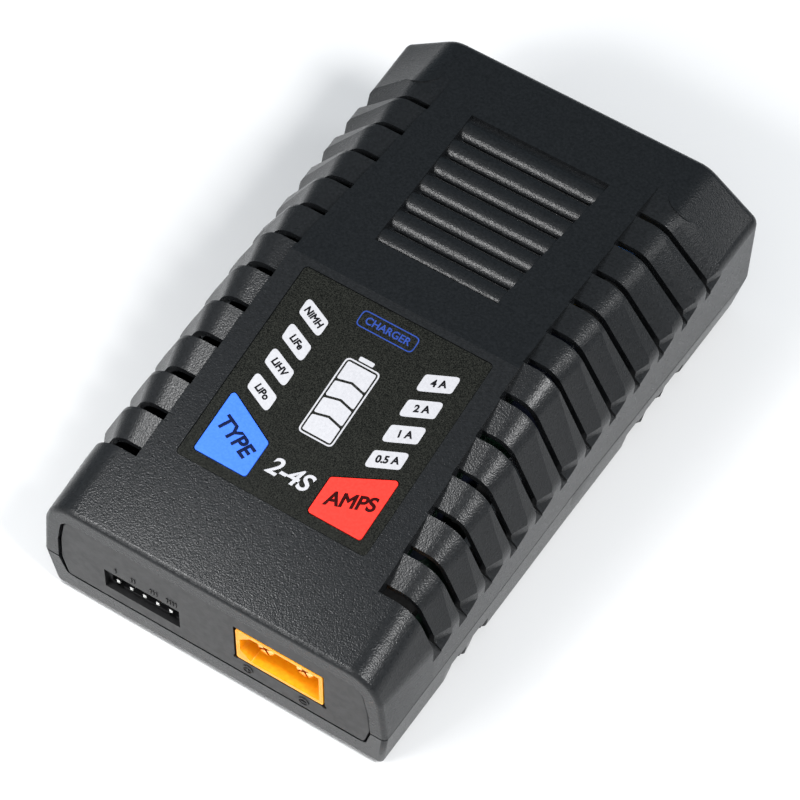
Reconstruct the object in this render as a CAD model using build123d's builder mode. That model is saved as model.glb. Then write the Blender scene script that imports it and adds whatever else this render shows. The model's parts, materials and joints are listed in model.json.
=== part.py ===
from build123d import *
import math
import os

# Balance battery charger: two-part case with louvred flanks, a control panel on the front slope,
# a balance socket and a two-pin DC output at the front, and a mains inlet at the rear.
# Millimetres. +Z up, -Y is the front with the battery outputs, origin at the middle of the base.

# ---------- case ----------
FRONT_Y = -53.6
REAR_Y = 53.6
RIDGE_Y = 0.4
RIDGE_Z = 36.0
FRONT_SLOPE = 0.209
REAR_SLOPE = 0.069
PART_Z = 10.1
PART_X = 32.1
PART_X_REAR = 33.4
WALL = 2.4
BASE_WALL = 2.0
FRONT_WALL = 1.5
REAR_WALL = 2.0
BASE_X = 30.7
BASE_X_REAR = 31.0
BASE_FRONT_Y = -52.9
BASE_REAR_Y = 52.8
BASE_EDGE_R = 1.9
ROOT_Z = 1.2
SHADOW_GAP = 0.35
FRONT_CORNER_R = 0.8
REAR_CORNER_R = 1.4
SHOULDER_R = 5.5
REAR_EDGE_R = 1.4
FRONT_EDGE_R = 0.8
FOLD_R = 4.5
FOLD_R_REAR = 2.2
# y, shoulder x, fold x, fold z and parting x of the upper shell's section
STATIONS = (
    (FRONT_Y, 29.3, 31.2, 19.4, PART_X),
    (-40.4, 28.8, 32.4, 19.3, PART_X),
    (-27.0, 28.1, 32.6, 20.2, PART_X),
    (RIDGE_Y, 26.6, 33.1, 22.3, PART_X),
    (REAR_Y, 24.2, 33.95, 25.1, PART_X_REAR),
)

# ---------- louvres ----------
LOUVRE_COUNT = 12
LOUVRE_PITCH = 7.04
FIRST_LOUVRE_Y = 39.0
BLEND_RUN = 7.5
LOUVRE_INNER_X = 21.05
LOUVRE_FLARE = 0.034
DIP_FIRST = 1.0
DIP_STEP = 0.04
SLOT_FIRST = 1.75
SLOT_STEP = 0.05
LEDGE_DROP = 1.8
LEDGE_RUN = 2.6
FOLD_RISE = -1.0
BASE_VENT_Y = (33.0, 27.0, 21.0, -25.7, -31.8)
VENT_SLOT = 2.5
VENT_RUN = 4.0
VENT_DIP = 0.8
VENT_TOP_Z = 5.2

# ---------- raised bars on the rear slope ----------
GRILLE_V = 9.0
GRILLE_PITCH = 4.44
GRILLE_BARS = 7
GRILLE_DEPTH = 1.45

# ---------- front slope controls ----------
SLOPE_ANGLE = math.atan(FRONT_SLOPE)
SLOPE_COS = math.cos(SLOPE_ANGLE)
INNER_W = -WALL * SLOPE_COS
LABEL_W = 35.1
LABEL_L = 37.0
LABEL_V = -19.9
LABEL_CORNER_R = 0.8
LABEL_RECESS = 0.5
LABEL_T = 0.36
BOARD_W = -6.0
BOARD_T = 1.2
KEY_TRAVEL = 0.3
KEY_CORNER_R = 0.55
KEY_TOP_W = -0.04
FLANGE_TOP_W = -2.45
PLUNGER_TOP_W = -3.4
SWITCH_TOP_W = -4.3
PILL_PITCH = 4.88
POST_X = 18.6
POST_V = (-4.0, -37.0)
RIBBON_Y = -27.6
LINK_V = -30.7

# ---------- main board ----------
PCB_X = 28.2
PCB_FRONT = -49.0
PCB_REAR = 50.0
PCB_Z = 5.8
PCB_T = 1.6
PCB_TOP = PCB_Z + PCB_T
SCREW_HEAD_R = 2.7
SCREW_SEAT_Z = 3.2
BOSS_XY = [(-25.0, -45.2), (25.0, -45.2), (-25.0, 45.2), (25.0, 45.2)]

# ---------- connectors ----------
BALANCE_X = -13.4
BALANCE_Z = 10.6
BALANCE_PITCH = 2.5
BALANCE_NOSE_Y = -52.2
BALANCE_TIP_Y = -52.8
BALANCE_BACK_Y = -41.0
BALANCE_LEG_Y = -39.8
OUTPUT_X = 12.5
OUTPUT_Z = 13.9
OUTPUT_PITCH = 7.2
OUTPUT_DEPTH = 8.5
OUTPUT_TIP_Y = -51.9
OUTPUT_LEG_Y = -35.7
INLET_Z = 15.7
INLET_PITCH = 8.6
INLET_NOSE_X = 9.5
INLET_NOSE_H = 5.4
INLET_BACK_Y = 36.0
INLET_FLANGE_Y = 50.9
INLET_DEPTH = 12.5
INLET_LEG_Y = 34.4

PANEL_FACE = FRONT_Y + 0.3
FLANGE_Y = -52.0
PANEL_BACK = -50.8
PANEL_SKIN = 1.05
PANEL_OUTLINE = ((27.9, 5.7), (29.0, 9.8), (28.7, 15.0), (27.6, 21.1))

UPWARD = (Align.CENTER, Align.CENTER, Align.MIN)

SLOPE = Plane(origin=(0, RIDGE_Y, RIDGE_Z), x_dir=(1, 0, 0), z_dir=(0, -math.sin(SLOPE_ANGLE), SLOPE_COS))
SLOPE_AXIS = Axis((0, RIDGE_Y, RIDGE_Z), (0, -math.sin(SLOPE_ANGLE), SLOPE_COS))


def top_z(y):
    if y < RIDGE_Y:
        return RIDGE_Z - (RIDGE_Y - y) * FRONT_SLOPE
    return RIDGE_Z - (y - RIDGE_Y) * REAR_SLOPE


def section_at(y):
    """Shoulder x, fold x, fold z and parting x of the upper shell at one place along its length."""
    for first, last in zip(STATIONS, STATIONS[1:]):
        if y <= last[0]:
            break
    share = (y - first[0]) / (last[0] - first[0])
    return [a + (b - a) * share for a, b in zip(first[1:], last[1:])]


def cross(p, d, q, e):
    """Where the line through p along d meets the line through q along e."""
    den = d[0] * e[1] - d[1] * e[0]
    t = ((q[0] - p[0]) * e[1] - (q[1] - p[1]) * e[0]) / den
    return (p[0] + d[0] * t, p[1] + d[1] * t)


def inset_corners(y, depth):
    """Shoulder and fold corners, moved in by depth, with the flank and band directions."""
    shoulder_x, fold_x, fold_z, part_x = section_at(y)
    z = top_z(y)
    flank = (fold_x - shoulder_x, fold_z - z)
    band = (part_x - fold_x, PART_Z - fold_z)
    flank_len = math.hypot(*flank)
    band_len = math.hypot(*band)
    flank_in = (shoulder_x + flank[1] / flank_len * depth, z - flank[0] / flank_len * depth)
    band_in = (fold_x + band[1] / band_len * depth, fold_z - band[0] / band_len * depth)
    shoulder = cross((0, z - depth), (1, 0), flank_in, flank)
    fold = cross(flank_in, flank, band_in, band)
    return shoulder, fold, band


def rounding(radius):
    """Steps round a quarter circle: distance in from the end face, and inset of the outline there."""
    turns = [math.radians(15 * step) for step in range(7)]
    return [(radius * (1 - math.cos(turn)), radius * (1 - math.sin(turn))) for turn in turns]


def xz_plane(y):
    return Plane.XZ.offset(-y)


def upper_section(y, depth):
    """Half-round section of the upper shell on an XZ plane, inset by depth."""
    shoulder, fold, band = inset_corners(y, depth)
    foot = cross(fold, band, (0, PART_Z), (1, 0))
    side = [(foot[0], PART_Z), fold, shoulder]
    outline = side + [(-x, z) for x, z in reversed(side)]
    with BuildSketch(xz_plane(y)) as sketch:
        with BuildLine():
            Polyline(*outline, close=True)
        make_face()
        folds = sketch.vertices().filter_by_position(Axis.Y, fold[1] - 0.01, fold[1] + 0.01)
        fold_r = FOLD_R + (FOLD_R_REAR - FOLD_R) * max(y - RIDGE_Y, 0) / (REAR_Y - RIDGE_Y)
        fillet(folds, max(fold_r - depth, 0.6))
        tops = sketch.vertices().filter_by_position(Axis.Y, shoulder[1] - 0.01, shoulder[1] + 0.01)
        fillet(tops, SHOULDER_R - depth)
    return sketch.sketch


def upper_stations(start, end):
    return [start] + [s[0] for s in STATIONS if start < s[0] < end] + [end]


def wall_x(y, z):
    """Half-width of the lower shell."""
    toward_rear = max(y - RIDGE_Y, 0) / (REAR_Y - RIDGE_Y)
    base = BASE_X + (BASE_X_REAR - BASE_X) * toward_rear
    top = PART_X + (PART_X_REAR - PART_X) * toward_rear
    return base + (top - base) * z / PART_Z


def ring_at(z, inset, height=None):
    """Plan outline of the lower shell at one height, drawn at that height or at another."""
    share = z / PART_Z
    half_x = wall_x(RIDGE_Y, z) - inset
    rear_x = wall_x(REAR_Y, z) - inset
    front = BASE_FRONT_Y + (FRONT_Y - BASE_FRONT_Y) * share + inset
    rear = BASE_REAR_Y + (REAR_Y - BASE_REAR_Y) * share - inset
    side = [(half_x, front), (half_x, RIDGE_Y), (rear_x, rear)]
    with BuildSketch(Plane.XY.offset(z if height is None else height)) as sketch:
        with BuildLine():
            Polyline(*side, *[(-x, y) for x, y in reversed(side)], close=True)
        make_face()
        fillet(sketch.vertices().group_by(Axis.Y)[0], FRONT_CORNER_R)
        fillet(sketch.vertices().group_by(Axis.Y)[-1], REAR_CORNER_R)
    return sketch.sketch


def panel_sketch(grow):
    """Outline of the front panel on an XZ plane, grown all round."""
    side = list(PANEL_OUTLINE)
    outline = side + [(-x, z) for x, z in reversed(side)]
    with BuildSketch(Plane.XZ) as sketch:
        with BuildLine():
            Polyline(*outline, close=True)
        make_face()
        top = sketch.vertices().group_by(Axis.Y)[-1]
        fillet(top, 2.4)
        bottom = sketch.vertices().group_by(Axis.Y)[0]
        fillet(bottom, 0.8)
        if grow:
            offset(amount=grow)
    return sketch.sketch


def pill_points(side, row, grow=0.0):
    """Slanted window of one indicator, in the slope's own x and v."""
    top = -5.9 - PILL_PITCH * row
    outer = 13.95 + grow
    inner = 8.95 - grow
    points = [
        (outer, top + grow),
        (inner, top - 2.15 + grow),
        (inner, top - 5.1 - grow),
        (outer, top - 2.95 - grow),
    ]
    return [(side * x, v) for x, v in points]


def key_points(side, grow=0.0):
    points = [
        (15.45 + grow, -25.0 + grow * 1.5),
        (5.7 - grow, -29.8 + grow * 0.6),
        (5.7 - grow, -36.4 - grow),
        (15.45 + grow, -36.4 - grow),
    ]
    return [(side * x, v) for x, v in points]


def battery_rows():
    """Centre v of the four bars of the charge gauge."""
    return [-13.1 - 3.6 * i for i in range(4)]


def face_of(points, radius):
    """Closed polygon with every corner rounded, added to the sketch being built."""
    with BuildSketch(mode=Mode.PRIVATE) as shape:
        with BuildLine():
            Polyline(*points, close=True)
        make_face()
        if radius:
            fillet(shape.vertices(), radius)
    add(shape.sketch)


def louvre_y(index):
    return FIRST_LOUVRE_Y - LOUVRE_PITCH * index


def slot_width(index):
    return SLOT_FIRST + SLOT_STEP * index


def ledge_z(y):
    """Height at which a louvre's floor ends, on the band just below the fold."""
    return section_at(y)[2] - LEDGE_DROP


def louvre_section(y, side, depth, fold_depth, shape_y):
    """Cross-section of a louvre cutter on an XZ plane, its floor inset by depth at shoulder and fold."""
    shoulder = inset_corners(y, depth)[0]
    fold, band = inset_corners(y, fold_depth)[1:]
    low = ledge_z(shape_y)
    floor_end = cross(fold, band, (0, low), (1, 0))
    lip_x = section_at(y)[1] + 1.3
    inner_x = LOUVRE_INNER_X - LOUVRE_FLARE * shape_y
    over = top_z(y) + 3
    floor = [(inner_x, shoulder[1]), shoulder, fold, floor_end]
    outside = [(lip_x, low - LEDGE_RUN), (lip_x + 3, low - LEDGE_RUN), (lip_x + 3, over), (inner_x, over)]
    with BuildSketch(xz_plane(y)) as sketch:
        with BuildLine():
            Polyline(*[(side * x, z) for x, z in floor + outside], close=True)
        make_face()
        bend = sketch.vertices().sort_by_distance((side * shoulder[0], shoulder[1], 0))[0]
        fillet(bend, max(SHOULDER_R - depth, 0.8))
    return sketch.sketch


def slope_at(w):
    return SLOPE.offset(w)


def board_cylinder(x, y, radius, low, high):
    """Upright round piece on the main board."""
    with Locations((x, y, low)):
        Cylinder(radius, high - low, align=UPWARD)


def board_box(x, y, size_x, size_y, low, high, mode=Mode.ADD):
    """Upright block on the main board."""
    with Locations((x, y, low)):
        Box(size_x, size_y, high - low, align=UPWARD, mode=mode)


def finish_part(builder, name):
    builder.part.label = name
    export_step(builder.part, f"parts/{name}.step")


os.makedirs("parts", exist_ok=True)

# ================= upper shell =================
with BuildPart() as hull:
    for reach, inset in rounding(FRONT_EDGE_R):
        add(upper_section(FRONT_Y + reach, inset))
    for y in [s[0] for s in STATIONS[1:-1]]:
        add(upper_section(y, 0))
    for reach, inset in reversed(rounding(REAR_EDGE_R)):
        add(upper_section(REAR_Y - reach, inset))
    loft(ruled=True)

with BuildPart() as cavity:
    for y in upper_stations(FRONT_Y + FRONT_WALL, REAR_Y - REAR_WALL):
        add(upper_section(y, WALL))
    loft(ruled=True)

# wedge pockets that dip towards the front, each ending in a slot through the wall
louvre_cutters = []
for side in (-1, 1):
    for index in range(LOUVRE_COUNT):
        front_y = louvre_y(index)
        width = slot_width(index)
        rear_y = louvre_y(index - 1) - slot_width(index - 1)
        dip = DIP_FIRST + DIP_STEP * index
        # the pocket's floor rises to the case's surface towards the rear, soonest at the fold
        if index:
            steps = [(front_y - 0.02, dip, dip), (rear_y, 0.04, FOLD_RISE)]
        else:
            shares = [step / 4 for step in range(5)]
            fades = [(share, dip * (1 - share) ** 2) for share in shares]
            steps = [(front_y - 0.02 + BLEND_RUN * t, fade, fade + FOLD_RISE * t) for t, fade in fades]
        with BuildPart() as pocket:
            for y, depth, fold_depth in steps:
                add(louvre_section(y, side, depth, fold_depth, front_y))
            loft(ruled=True)
        with BuildPart() as slot:
            for y in (front_y - width, front_y):
                add(louvre_section(y, side, WALL + 0.7, WALL + 0.7, front_y))
            loft(ruled=True)
        louvre_cutters += [pocket.part, slot.part]

# recessed field of rounded bars on the rear slope
REAR_ANGLE = math.atan(REAR_SLOPE)
REAR_TOP = Plane(
    origin=(0, RIDGE_Y, RIDGE_Z),
    x_dir=(1, 0, 0),
    z_dir=(0, math.sin(REAR_ANGLE), math.cos(REAR_ANGLE)),
)
REAR_SIDE = Plane(
    origin=(0, RIDGE_Y, RIDGE_Z),
    x_dir=(0, math.cos(REAR_ANGLE), -math.sin(REAR_ANGLE)),
    z_dir=(1, 0, 0),
)
with BuildPart() as grille_relief:
    with BuildSketch(REAR_TOP):
        rear_v = GRILLE_V + GRILLE_PITCH * GRILLE_BARS
        corners = [(-11.4, GRILLE_V), (11.4, GRILLE_V), (13.1, rear_v), (-13.1, rear_v)]
        face_of(corners, 0)
    extrude(amount=-GRILLE_DEPTH)
    with BuildSketch(REAR_TOP):
        face_of(corners, 0)
    extrude(amount=2)
    with BuildSketch(REAR_SIDE) as bar_profiles:
        for index in range(GRILLE_BARS):
            start = GRILLE_V + GRILLE_PITCH * index
            end = start + GRILLE_PITCH
            with BuildLine():
                foot = (start + 0.2, -GRILLE_DEPTH)
                heel = (end - 0.2, -GRILLE_DEPTH)
                ThreePointArc(foot, ((start + end) / 2, -0.12), heel)
                Line(foot, heel)
            make_face()
        # the last bar runs into the field's rear wall
        with BuildLine():
            middle = rear_v - GRILLE_PITCH / 2
            infill = [(middle, -0.13), (rear_v + 1, -0.9), (rear_v + 1, -GRILLE_DEPTH), (middle, -GRILLE_DEPTH)]
            Polyline(*infill, close=True)
        make_face()
    extrude(amount=15, both=True, mode=Mode.SUBTRACT)
with BuildPart() as grille_slits:
    with BuildSketch(REAR_TOP):
        for index in range(1, GRILLE_BARS):
            with Locations((0, GRILLE_V + GRILLE_PITCH * index)):
                Rectangle(21.0 + 0.45 * index, 0.4)
    extrude(amount=-WALL - 1)

# bosses for the case screws, posts for the control board, and ribs behind the front panel
with BuildPart() as shell_posts:
    for x, y in BOSS_XY:
        board_cylinder(x, y, 3.2, PCB_TOP + 0.05, RIDGE_Z)
    with BuildSketch(slope_at(BOARD_W)):
        with Locations(*[(side * POST_X, v) for side in (-1, 1) for v in POST_V]):
            Circle(2.2)
    extrude(amount=-BOARD_W - 1.0)
    for x in (-16.0, 16.0):
        board_box(x, PANEL_BACK + 0.75, 2.0, 1.4, PART_Z + 8, RIDGE_Z)
    add(hull.part, mode=Mode.INTERSECT)

with BuildPart() as upper_shell:
    add(hull.part)
    add(cavity.part, mode=Mode.SUBTRACT)
    add(louvre_cutters, mode=Mode.SUBTRACT)
    add(shell_posts.part)
    add(grille_relief.part, mode=Mode.SUBTRACT)
    add(grille_slits.part, mode=Mode.SUBTRACT)
    with BuildSketch(SLOPE):
        with Locations((0, LABEL_V)):
            RectangleRounded(LABEL_W, LABEL_L, LABEL_CORNER_R)
    extrude(amount=-LABEL_RECESS, mode=Mode.SUBTRACT)
    with BuildSketch(SLOPE):
        for side in (-1, 1):
            face_of(key_points(side, 0.15), KEY_CORNER_R + 0.1)
            for row in range(4):
                face_of(pill_points(side, row, 0.1), 0.5)
        for v in battery_rows():
            with Locations((0, v)):
                Rectangle(5.4, 2.6)
    extrude(amount=INNER_W - 0.6, mode=Mode.SUBTRACT)
    # screw pilots
    for x, y in BOSS_XY:
        with Locations((x, y, PCB_TOP)):
            Cylinder(1.5, 12.0, align=UPWARD, mode=Mode.SUBTRACT)
    with BuildSketch(slope_at(BOARD_W)):
        with Locations(*[(side * POST_X, v) for side in (-1, 1) for v in POST_V]):
            Circle(0.95)
    extrude(amount=3.0, mode=Mode.SUBTRACT)
    # opening and groove for the front panel
    with BuildSketch(xz_plane(FRONT_Y - 1)):
        add(panel_sketch(0.3))
    extrude(amount=-3.0, mode=Mode.SUBTRACT)
    with BuildSketch(xz_plane(FLANGE_Y - 0.1)):
        add(panel_sketch(1.1))
    extrude(amount=-(PANEL_BACK - FLANGE_Y + 0.2), mode=Mode.SUBTRACT)
    # window for the mains inlet, open at the parting line
    board_box(0, REAR_Y, 2 * INLET_NOSE_X + 0.3, 8, PART_Z - 1, INLET_Z + INLET_NOSE_H + 0.15, mode=Mode.SUBTRACT)
    # rebate for the lower shell's locating lip
    with BuildSketch(Plane.XY.offset(PART_Z)):
        add(ring_at(PART_Z, 1.3))
    extrude(amount=1.2, mode=Mode.SUBTRACT)
finish_part(upper_shell, "upper_shell")

# ================= lower shell =================
with BuildPart() as base_vents:
    for side in (-1, 1):
        for y in BASE_VENT_Y:
            board_box(side * PART_X, y + VENT_SLOT / 2, 8, VENT_SLOT, -1, VENT_TOP_Z - 1)
            with BuildPart() as scoop:
                for z in (-1, VENT_TOP_Z):
                    x = wall_x(y, z)
                    low_y = y - VENT_RUN
                    wedge = [(x, low_y), (x + 4, low_y), (x + 4, y + 0.1), (x - VENT_DIP, y + 0.1)]
                    with BuildSketch(Plane.XY.offset(z)):
                        face_of([(side * x, v) for x, v in wedge], 0)
                loft(ruled=True)

# screw posts, board rests and ribs behind the front panel
with BuildPart() as tray_posts:
    for x, y in BOSS_XY:
        board_cylinder(x, y, 4.2, ROOT_Z, PCB_Z)
    for side in (-1, 1):
        board_box(side * 28.9, 0, 2.6, 12, ROOT_Z, PCB_Z)
        board_box(side * 16.0, PANEL_BACK + 0.75, 2.0, 1.4, ROOT_Z, 5.6)
    board_box(0, -46.0, 12, 2, ROOT_Z, PCB_Z)
    board_box(0, 48.0, 12, 2, ROOT_Z, PCB_Z)

with BuildPart() as tray_hollow:
    add(ring_at(BASE_WALL, 2.4))
    add(ring_at(PART_Z, 2.2, PART_Z + 0.01))
    loft(ruled=True)
    add(tray_posts.part, mode=Mode.SUBTRACT)

with BuildPart() as tray_block:
    for reach, inset in rounding(BASE_EDGE_R):
        add(ring_at(reach, inset))
    add(ring_at(PART_Z, 0))
    loft(ruled=True)

with BuildPart() as lower_shell:
    add(tray_block.part)
    add(tray_hollow.part, mode=Mode.SUBTRACT)
    add(base_vents.part, mode=Mode.SUBTRACT)
    # locating lip, left out where the front panel and the mains inlet cross it
    with BuildSketch(Plane.XY.offset(PART_Z - 0.6)):
        add(ring_at(PART_Z, 1.4))
        add(ring_at(PART_Z, 2.1), mode=Mode.SUBTRACT)
        with Locations((0, FRONT_Y)):
            Rectangle(70, 2 * (PANEL_BACK - FRONT_Y) + 0.8, mode=Mode.SUBTRACT)
        with Locations((0, REAR_Y)):
            Rectangle(2 * INLET_NOSE_X + 2.4, 8, mode=Mode.SUBTRACT)
    extrude(amount=1.7)
    # shadow line along the parting
    with BuildSketch(Plane.XY.offset(PART_Z - SHADOW_GAP)):
        add(ring_at(PART_Z, -1))
        add(ring_at(PART_Z, 0.7), mode=Mode.SUBTRACT)
    extrude(amount=SHADOW_GAP + 0.1, mode=Mode.SUBTRACT)
    # recesses for the case screws
    with Locations(*[(x, y, -1) for x, y in BOSS_XY]):
        Cylinder(SCREW_HEAD_R + 0.25, SCREW_SEAT_Z + 1, align=UPWARD, mode=Mode.SUBTRACT)
        Cylinder(1.6, PCB_Z + 2, align=UPWARD, mode=Mode.SUBTRACT)
    # opening and groove for the front panel
    with BuildSketch(xz_plane(FRONT_Y - 1)):
        add(panel_sketch(0.3))
    extrude(amount=-3.0, mode=Mode.SUBTRACT)
    with BuildSketch(xz_plane(FLANGE_Y - 0.1)):
        add(panel_sketch(1.1))
    extrude(amount=-(PANEL_BACK - FLANGE_Y + 0.2), mode=Mode.SUBTRACT)
finish_part(lower_shell, "lower_shell")

with BuildPart() as case_screws:
    for x, y in BOSS_XY:
        board_cylinder(x, y, SCREW_HEAD_R, SCREW_SEAT_Z - 2.0, SCREW_SEAT_Z)
        board_cylinder(x, y, 1.45, SCREW_SEAT_Z, 18.5)
    with BuildSketch(Plane.XY.offset(SCREW_SEAT_Z - 2.0)):
        with Locations(*BOSS_XY):
            Rectangle(3.2, 0.7)
            Rectangle(0.7, 3.2)
    extrude(amount=1.2, mode=Mode.SUBTRACT)
finish_part(case_screws, "case_screws")

# ================= front panel =================
with BuildPart() as front_panel:
    with BuildSketch(xz_plane(PANEL_FACE)):
        add(panel_sketch(0))
    extrude(amount=-(PANEL_BACK - PANEL_FACE))
    with BuildSketch(xz_plane(FLANGE_Y)):
        add(panel_sketch(0.9))
    extrude(amount=-(PANEL_BACK - FLANGE_Y))
    fillet(front_panel.faces().sort_by(Axis.Y)[0].edges(), 0.3)
    # window of the DC output, and the balance socket's window with a deeper seat behind it
    with Locations((OUTPUT_X - 0.1, PANEL_FACE, OUTPUT_Z - 0.1)):
        Box(16.7, 8, 8.8, mode=Mode.SUBTRACT)
    # round relief in the window's lower corners
    with BuildSketch(xz_plane(PANEL_FACE - 1)):
        with Locations((OUTPUT_X - 8.3, OUTPUT_Z - 4.4), (OUTPUT_X + 8.1, OUTPUT_Z - 4.4)):
            Circle(0.45)
    extrude(amount=-3, mode=Mode.SUBTRACT)
    with Locations((BALANCE_X, PANEL_FACE, 10.85)):
        Box(14.2, 8, 4.7, mode=Mode.SUBTRACT)
    with Locations((BALANCE_X, PANEL_FACE + 5.0 + PANEL_SKIN, 11.23)):
        Box(15.2, 10, 6.1, mode=Mode.SUBTRACT)
    # moulded polarity marks under the output
    with BuildSketch(xz_plane(PANEL_FACE)):
        for x in (OUTPUT_X - 6.1, OUTPUT_X + 4.3):
            with Locations((x, 7.6)):
                Circle(1.0)
                Circle(0.75, mode=Mode.SUBTRACT)
                Rectangle(1.0, 0.22)
        with Locations((OUTPUT_X - 6.1, 7.6)):
            Rectangle(0.22, 1.0)
    extrude(amount=0.15)
    # moulded cell marks above the balance socket: one bar, two bars, and so on
    with BuildSketch(xz_plane(PANEL_FACE)):
        for group, x in enumerate((-18.2, -14.9, -11.0, -7.6)):
            for bar in range(group + 1):
                with Locations((x + 0.55 * (bar - group / 2), 14.6)):
                    Rectangle(0.25, 1.1)
    extrude(amount=0.15)
finish_part(front_panel, "front_panel")

# ================= label, keys and light guides =================
with BuildPart() as label_overlay:
    with BuildSketch(slope_at(-LABEL_RECESS)):
        with Locations((0, LABEL_V)):
            RectangleRounded(LABEL_W - 0.2, LABEL_L - 0.2, LABEL_CORNER_R - 0.1)
        for side in (-1, 1):
            with BuildSketch(mode=Mode.PRIVATE) as key_hole:
                face_of(key_points(side, 0.15), KEY_CORNER_R + 0.1)
            add(key_hole.sketch, mode=Mode.SUBTRACT)
    extrude(amount=LABEL_T)
finish_part(label_overlay, "label_overlay")

KEY_XV = (10.8, -32.2)
for name, side in (("mode_key", -1), ("current_key", 1)):
    with BuildPart() as key:
        with BuildSketch(slope_at(FLANGE_TOP_W)):
            face_of(key_points(side), KEY_CORNER_R)
        extrude(amount=KEY_TOP_W - FLANGE_TOP_W)
        fillet(key.faces().sort_by(SLOPE_AXIS)[-1].edges(), 0.12)
        with BuildSketch(slope_at(FLANGE_TOP_W)):
            face_of(key_points(side, 0.7), 1.5)
        extrude(amount=-0.6)
        with BuildSketch(slope_at(PLUNGER_TOP_W)):
            with Locations((side * KEY_XV[0], KEY_XV[1])):
                Circle(1.5)
        extrude(amount=FLANGE_TOP_W - 0.6 - PLUNGER_TOP_W)
    finish_part(key, name)
    with BuildPart() as plunger:
        with BuildSketch(slope_at(PLUNGER_TOP_W)):
            with Locations((side * KEY_XV[0], KEY_XV[1])):
                Circle(1.7)
        extrude(amount=-1.55)
    finish_part(plunger, name.replace("key", "plunger"))

with BuildPart() as light_guides:
    with BuildSketch(slope_at(-3.4)):
        for side in (-1, 1):
            strip = [(14.35, -5.3), (8.55, -8.0), (8.55, -26.0), (14.35, -24.0)]
            face_of([(side * x, v) for x, v in strip], 0.4)
        with Locations((0, -18.5)):
            Rectangle(7.2, 14.6)
    extrude(amount=1.0)
    with BuildSketch(slope_at(-2.4)):
        for side in (-1, 1):
            for row in range(4):
                face_of(pill_points(side, row), 0.5)
        for v in battery_rows():
            with Locations((0, v)):
                Rectangle(5.2, 2.4)
    extrude(amount=1.88)
finish_part(light_guides, "light_guides")

# ================= control board under the front slope =================
with BuildPart() as control_board:
    with BuildSketch(slope_at(BOARD_W)):
        with Locations((0, -20.5)):
            RectangleRounded(42.0, 38.0, 1.0)
        with Locations(*[(side * POST_X, v) for side in (-1, 1) for v in POST_V]):
            Circle(1.1, mode=Mode.SUBTRACT)
    extrude(amount=-BOARD_T)
finish_part(control_board, "control_board")

with BuildPart() as control_board_screws:
    places = [(side * POST_X, v) for side in (-1, 1) for v in POST_V]
    with BuildSketch(slope_at(BOARD_W - BOARD_T)):
        with Locations(*places):
            Circle(1.7)
    extrude(amount=-1.2)
    with BuildSketch(slope_at(BOARD_W - BOARD_T)):
        with Locations(*places):
            Circle(0.92)
    extrude(amount=3.6)
finish_part(control_board_screws, "control_board_screws")

with BuildPart() as indicator_leds:
    with BuildSketch(slope_at(BOARD_W)):
        for side in (-1, 1):
            with Locations(*[(side * 11.45, -8.45 - PILL_PITCH * row) for row in range(4)]):
                Rectangle(2.0, 1.25)
        with Locations(*[(0, v) for v in battery_rows()]):
            Rectangle(2.0, 1.25)
    extrude(amount=0.8)
finish_part(indicator_leds, "indicator_leds")

switch_places = [(side * KEY_XV[0], KEY_XV[1]) for side in (-1, 1)]
with BuildPart() as switch_bodies:
    with BuildSketch(slope_at(BOARD_W)):
        with Locations(*switch_places):
            RectangleRounded(6.0, 6.0, 0.4)
    extrude(amount=SWITCH_TOP_W - BOARD_W)
    with BuildSketch(slope_at(BOARD_W + 0.6)):
        with Locations(*switch_places):
            Circle(2.3)
    extrude(amount=0.75, mode=Mode.SUBTRACT)
    with BuildSketch(slope_at(BOARD_W + 0.6)):
        with Locations(*switch_places):
            Circle(1.76)
    extrude(amount=2, mode=Mode.SUBTRACT)
finish_part(switch_bodies, "switch_bodies")

with BuildPart() as switch_domes:
    with BuildSketch(slope_at(BOARD_W + 0.6)):
        with Locations(*switch_places):
            Circle(2.2)
    extrude(amount=0.12)
finish_part(switch_domes, "switch_domes")

# ================= main board =================
with BuildPart() as main_board:
    with BuildSketch(Plane.XY.offset(PCB_Z)):
        with Locations((0, (PCB_FRONT + PCB_REAR) / 2)):
            Rectangle(2 * PCB_X, PCB_REAR - PCB_FRONT)
        with Locations(*BOSS_XY):
            Circle(1.7, mode=Mode.SUBTRACT)
        with Locations(*[(BALANCE_X + BALANCE_PITCH * n, BALANCE_LEG_Y) for n in range(-2, 3)]):
            Rectangle(0.8, 0.8, mode=Mode.SUBTRACT)
        with Locations(*[(OUTPUT_X + n * OUTPUT_PITCH / 2, OUTPUT_LEG_Y) for n in (-1, 1)]):
            Circle(1.2, mode=Mode.SUBTRACT)
        with Locations(*[(n * INLET_PITCH / 2, INLET_LEG_Y) for n in (-1, 1)]):
            Circle(1.2, mode=Mode.SUBTRACT)
    extrude(amount=PCB_T)
finish_part(main_board, "main_board")

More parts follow.
